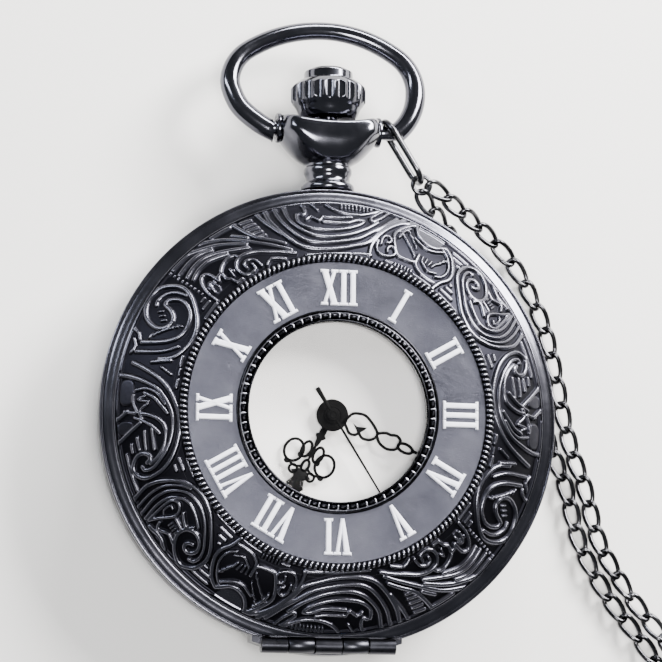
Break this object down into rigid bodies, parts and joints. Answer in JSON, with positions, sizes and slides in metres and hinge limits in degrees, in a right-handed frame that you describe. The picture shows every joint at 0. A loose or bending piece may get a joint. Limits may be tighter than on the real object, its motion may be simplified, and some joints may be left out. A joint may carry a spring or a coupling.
{
  "type": "half-hunter pocket watch",
  "caption": "Round pocket watch with an engraved hinged cover, a round window in it, a ring of raised Roman numerals, a fluted crown, a swinging bow and a long fine chain.",
  "frame": {"origin": "on the dial's axis, at the flat of the back cover that the watch rests on", "axes": "+Z out of the dial, +Y to 12 o'clock and the crown, +X to 3 o'clock"},
  "size_m": [0.0975, 0.0841, 0.0139],
  "materials": {
    "case_metal": "gunmetal plating, polished",
    "cover_metal": "antiqued gunmetal, dark in the recesses and bright on the ridges",
    "numeral_plate": "satin blue-grey with a fine brushed grain",
    "numeral_white": "raised strokes, satin white",
    "dial_white": "matte white enamel paint",
    "hand_black": "matte black",
    "crystal": "clear mineral glass",
    "chain_metal": "dark oxidised steel, worn bright on the edges",
    "steel": "plain steel",
    "spring_steel": "blued spring steel",
    "brass_plate": "gilt brass",
    "copper_wire": "enamelled copper wire",
    "board_green": "solder mask",
    "black_resin": "moulded resin",
    "plastic_pale": "moulded plastic",
    "rubber_seal": "soft black rubber"
  },
  "bodies": {
    "case": {"mid_case": "case_metal", "back_cover": "case_metal", "back_gasket": "rubber_seal", "pendant": "case_metal", "hinge_pin": "steel", "lift_spring": "spring_steel", "inner_bezel": "case_metal", "dial_crystal": "crystal", "dial": "dial_white", "movement_ring": "plastic_pale", "main_plate": "brass_plate", "train_bridge": "brass_plate", "stator": "steel", "coil_core": "steel", "drive_coil": "copper_wire", "circuit_board": "board_green", "timing_chip": "black_resin", "quartz_can": "steel", "button_cell": "steel", "battery_strap": "spring_steel", "movement_screws": "steel", "clip_link": "chain_metal", "jump_ring": "chain_metal", "chain_strand_a": "chain_metal", "chain_strand_b": "chain_metal", "chain_coil": "chain_metal"},
    "front_cover": {"cover_rim": "cover_metal", "cover_border": "cover_metal", "cover_liner": "cover_metal", "rope_ring": "cover_metal", "numeral_ring": "numeral_plate", "cover_numerals": "numeral_white", "window_bezel": "cover_metal", "window_glass": "crystal"},
    "latch": {"cover_latch": "spring_steel"},
    "bow": {"bow": "case_metal"},
    "setting": {"setting_lever": "steel"},
    "stem": {"winding_stem": "steel", "sliding_pinion": "steel"},
    "crown": {"crown": "case_metal"},
    "seconds": {"fourth_wheel": "brass_plate", "second_hand": "hand_black"},
    "minutes": {"centre_wheel": "brass_plate", "minute_hand": "hand_black"},
    "hours": {"hour_wheel": "brass_plate", "hour_hand": "hand_black"},
    "third": {"third_wheel": "brass_plate"},
    "fifth": {"fifth_wheel": "brass_plate"},
    "rotor": {"rotor": "steel"},
    "motion": {"minute_wheel": "brass_plate"}
  },
  "joints": [
    {"name": "cover_hinge", "type": "hinge", "parent": "case", "child": "front_cover", "pos_m": [0, -0.0235, 0.00845], "axis": [1, 0, 0], "range_deg": [0, 95]},
    {"name": "bow_swing", "type": "hinge", "parent": "case", "child": "bow", "pos_m": [0, 0.03075, 0.0063], "axis": [1, 0, 0], "range_deg": [-65, 85]},
    {"name": "stem_pull", "type": "slide", "parent": "case", "child": "setting", "axis": [0, 1, 0], "range_m": [0, 0.001]},
    {"name": "stem_turn", "type": "hinge", "parent": "setting", "child": "stem", "pos_m": [0, 0.03075, 0.0063], "axis": [0, 1, 0], "continuous": true},
    {"name": "crown_press", "type": "slide", "parent": "stem", "child": "crown", "axis": [0, 1, 0], "range_m": [-0.0005, 0], "stiffness_N_per_m": 1500, "springref_m": 0.0005},
    {"name": "latch_slide", "type": "slide", "parent": "case", "child": "latch", "axis": [0, 1, 0], "range_m": [-0.0005, 0]},
    {"name": "seconds_turn", "type": "hinge", "parent": "case", "child": "seconds", "pos_m": [0, 0, 0.007], "axis": [0, 0, -1], "continuous": true},
    {"name": "minutes_turn", "type": "hinge", "parent": "case", "child": "minutes", "pos_m": [0, 0, 0.007], "axis": [0, 0, -1], "continuous": true},
    {"name": "hours_turn", "type": "hinge", "parent": "case", "child": "hours", "pos_m": [0, 0, 0.007], "axis": [0, 0, -1], "continuous": true},
    {"name": "third_turn", "type": "hinge", "parent": "case", "child": "third", "pos_m": [-0.00236, 0.00136, 0.007], "axis": [0, 0, -1], "continuous": true},
    {"name": "fifth_turn", "type": "hinge", "parent": "case", "child": "fifth", "pos_m": [0.00242, -0.00139, 0.007], "axis": [0, 0, -1], "continuous": true},
    {"name": "rotor_turn", "type": "hinge", "parent": "case", "child": "rotor", "pos_m": [0.00448, -0.00176, 0.007], "axis": [0, 0, -1], "continuous": true},
    {"name": "motion_turn", "type": "hinge", "parent": "case", "child": "motion", "pos_m": [0, 0.0024, 0.007], "axis": [0, 0, -1], "continuous": true}
  ],
  "couplings": [
    {"joint": "latch_slide", "follows": "crown_press", "ratio": 1},
    {"joint": "third_turn", "follows": "seconds_turn", "ratio": -0.13333},
    {"joint": "minutes_turn", "follows": "seconds_turn", "ratio": 0.016667},
    {"joint": "motion_turn", "follows": "seconds_turn", "ratio": -0.0055556},
    {"joint": "hours_turn", "follows": "seconds_turn", "ratio": 0.0013889},
    {"joint": "fifth_turn", "follows": "seconds_turn", "ratio": -5},
    {"joint": "rotor_turn", "follows": "seconds_turn", "ratio": 30}
  ]
}
